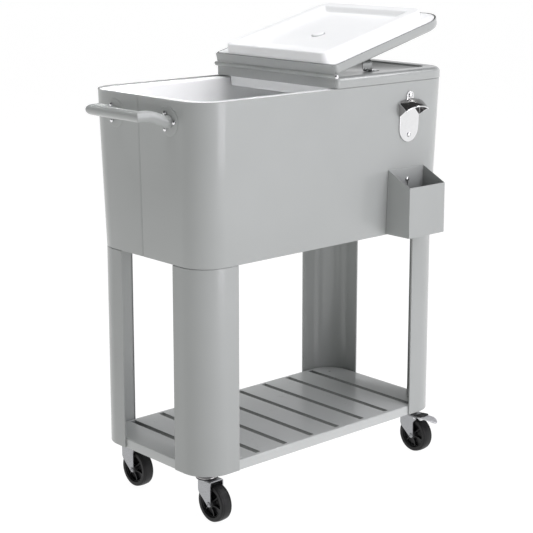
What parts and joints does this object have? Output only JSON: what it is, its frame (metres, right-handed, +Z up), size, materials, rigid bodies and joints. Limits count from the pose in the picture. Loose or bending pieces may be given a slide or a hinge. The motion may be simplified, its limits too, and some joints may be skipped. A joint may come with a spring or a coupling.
{
  "type": "rolling patio cooler",
  "caption": "Insulated steel drinks cooler on a four-legged cart with a slotted shelf, swivel casters, folding lids, end handles, bottle opener and cap catcher.",
  "frame": {"origin": "on the floor under the middle of the whole outline, at the underside of the wheels", "axes": "+X along the tank towards the end with the bottle opener, +Y towards the back, +Z up; the front wall with the opener and the cap catcher faces -Y"},
  "size_m": [0.8152, 0.417, 0.9579],
  "materials": {
    "painted_steel": "smooth light grey powder coat, semi-gloss",
    "painted_hinge": "light grey paint over steel strip",
    "white_liner": "white moulded plastic, satin",
    "foam": "rigid foamed insulation, matte",
    "chrome": "polished plated steel",
    "zinc": "bright zinc plate",
    "wheel_black": "black rubber and moulded hub, satin",
    "seal": "black rubber, matte"
  },
  "bodies": {
    "cart": {"shell_front": "painted_steel", "shell_back": "painted_steel", "bottom_pan": "painted_steel", "tank_liner": "white_liner", "tank_foam": "foam", "drain_spout": "white_liner", "drain_gasket": "seal", "drain_nut": "white_liner", "leg_front_left": "painted_steel", "leg_front_right": "painted_steel", "leg_back_left": "painted_steel", "leg_back_right": "painted_steel", "shelf": "painted_steel", "caster_plate_front_left": "zinc", "caster_plate_front_right": "zinc", "caster_plate_back_left": "zinc", "caster_plate_back_right": "zinc", "caster_stem_front_left": "zinc", "caster_stem_front_right": "zinc", "caster_stem_back_left": "zinc", "caster_stem_back_right": "zinc", "handle_left": "painted_steel", "handle_right": "painted_steel", "handle_anchor_left_front": "chrome", "handle_anchor_left_back": "chrome", "handle_anchor_right_front": "chrome", "handle_anchor_right_back": "chrome", "bottle_opener": "chrome", "opener_screw_top": "chrome", "opener_screw_low": "chrome", "catcher_screw": "chrome"},
    "right_lid": {"right_lid_skin": "painted_steel", "right_lid_liner": "white_liner", "right_lid_foam": "foam", "right_lid_handle": "chrome", "right_lid_handle_screws": "chrome", "right_hinge_leaf": "painted_hinge", "hinge_rod": "chrome"},
    "left_lid": {"left_lid_skin": "painted_steel", "left_lid_liner": "white_liner", "left_lid_foam": "foam", "left_lid_handle": "chrome", "left_lid_handle_screws": "chrome", "left_hinge_leaf": "painted_hinge"},
    "catcher": {"cap_catcher": "painted_steel"},
    "drain_plug": {"drain_cap": "white_liner"},
    "swivel_front_left": {"fork_front_left": "zinc", "axle_front_left": "chrome"},
    "swivel_front_right": {"fork_front_right": "zinc", "axle_front_right": "chrome"},
    "swivel_back_left": {"fork_back_left": "zinc", "axle_back_left": "chrome"},
    "swivel_back_right": {"fork_back_right": "zinc", "axle_back_right": "chrome"},
    "roller_front_left": {"wheel_front_left": "wheel_black"},
    "roller_front_right": {"wheel_front_right": "wheel_black"},
    "roller_back_left": {"wheel_back_left": "wheel_black"},
    "roller_back_right": {"wheel_back_right": "wheel_black"},
    "brake_front_right": {"brake_pedal_front_right": "zinc"},
    "brake_back_right": {"brake_pedal_back_right": "zinc"}
  },
  "joints": [
    {"name": "lid_pair_lift", "type": "slide", "parent": "cart", "child": "right_lid", "axis": [0, 0, 1], "range_m": [0, 0.12]},
    {"name": "left_lid_fold", "type": "hinge", "parent": "right_lid", "child": "left_lid", "pos_m": [0, 0.02453, 0.84], "axis": [0, -1, 0], "range_deg": [0, 165.6]},
    {"name": "catcher_lift", "type": "slide", "parent": "cart", "child": "catcher", "axis": [0, -0.0355, 0.9994], "range_m": [0, 0.009]},
    {"name": "drain_cap_turn", "type": "hinge", "parent": "cart", "child": "drain_plug", "pos_m": [0.3317, 0.02453, 0.5565], "axis": [1, 0, 0], "range_deg": [0, 720]},
    {"name": "swivel_front_left", "type": "hinge", "parent": "cart", "child": "swivel_front_left", "pos_m": [-0.286, -0.09807, 0], "axis": [0, 0, 1], "continuous": true},
    {"name": "swivel_front_right", "type": "hinge", "parent": "cart", "child": "swivel_front_right", "pos_m": [0.286, -0.09807, 0], "axis": [0, 0, 1], "continuous": true},
    {"name": "swivel_back_left", "type": "hinge", "parent": "cart", "child": "swivel_back_left", "pos_m": [-0.286, 0.14713, 0], "axis": [0, 0, 1], "continuous": true},
    {"name": "swivel_back_right", "type": "hinge", "parent": "cart", "child": "swivel_back_right", "pos_m": [0.286, 0.14713, 0], "axis": [0, 0, 1], "continuous": true},
    {"name": "roll_front_left", "type": "hinge", "parent": "swivel_front_left", "child": "roller_front_left", "pos_m": [-0.286, -0.12258, 0.0375], "axis": [1, 0, 0], "continuous": true},
    {"name": "roll_front_right", "type": "hinge", "parent": "swivel_front_right", "child": "roller_front_right", "pos_m": [0.286, -0.12258, 0.0375], "axis": [1, 0, 0], "continuous": true},
    {"name": "roll_back_left", "type": "hinge", "parent": "swivel_back_left", "child": "roller_back_left", "pos_m": [-0.286, 0.12262, 0.0375], "axis": [1, 0, 0], "continuous": true},
    {"name": "roll_back_right", "type": "hinge", "parent": "swivel_back_right", "child": "roller_back_right", "pos_m": [0.286, 0.12262, 0.0375], "axis": [1, 0, 0], "continuous": true},
    {"name": "brake_front_right", "type": "hinge", "parent": "swivel_front_right", "child": "brake_front_right", "pos_m": [0.286, -0.13157, 0.0782], "axis": [1, 0, 0], "range_deg": [0, 12]},
    {"name": "brake_back_right", "type": "hinge", "parent": "swivel_back_right", "child": "brake_back_right", "pos_m": [0.286, 0.11363, 0.0782], "axis": [1, 0, 0], "range_deg": [0, 12]}
  ]
}
